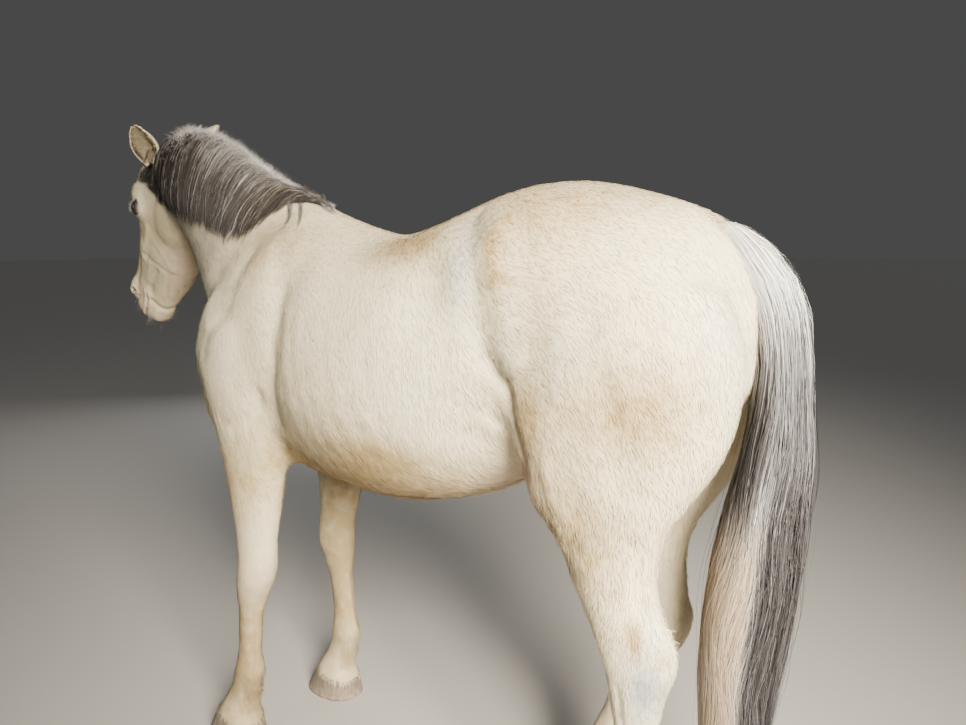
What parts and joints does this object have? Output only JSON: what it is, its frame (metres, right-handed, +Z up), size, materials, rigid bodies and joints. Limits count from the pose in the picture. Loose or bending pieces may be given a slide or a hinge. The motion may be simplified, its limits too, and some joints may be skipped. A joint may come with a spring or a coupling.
{
  "type": "horse",
  "caption": "Stocky white-grey horse of pony size, standing with one hind leg set forward, head low and slightly turned, grey mane on its left side, full tail.",
  "frame": {"origin": "middle of the outline's footprint box, at floor level under the hoofs", "axes": "+Z up, the animal faces -Y, its left side is +X"},
  "size_m": [0.5874, 2.2004, 1.6644],
  "materials": {
    "coat": "short dense hair, white with warm stains",
    "mane_hair": "long hair, white at the crest and charcoal at the tips",
    "tail_hair": "long hair, silver, charcoal and beige strands",
    "horn": "dark hoof horn",
    "eye": "wet dark eye"
  },
  "bodies": {
    "root": {"ear_left": "coat", "ear_right": "coat", "eye_left": "eye", "eye_right": "eye", "foreleg_left": "coat", "foreleg_right": "coat", "forelock": "mane_hair", "head": "coat", "hindleg_left": "coat", "hindleg_right": "coat", "hoof_fore_left": "horn", "hoof_fore_right": "horn", "hoof_hind_left": "horn", "hoof_hind_right": "horn", "mane": "mane_hair", "neck": "coat", "tail": "tail_hair", "trunk": "coat"}
  },
  "joints": []
}
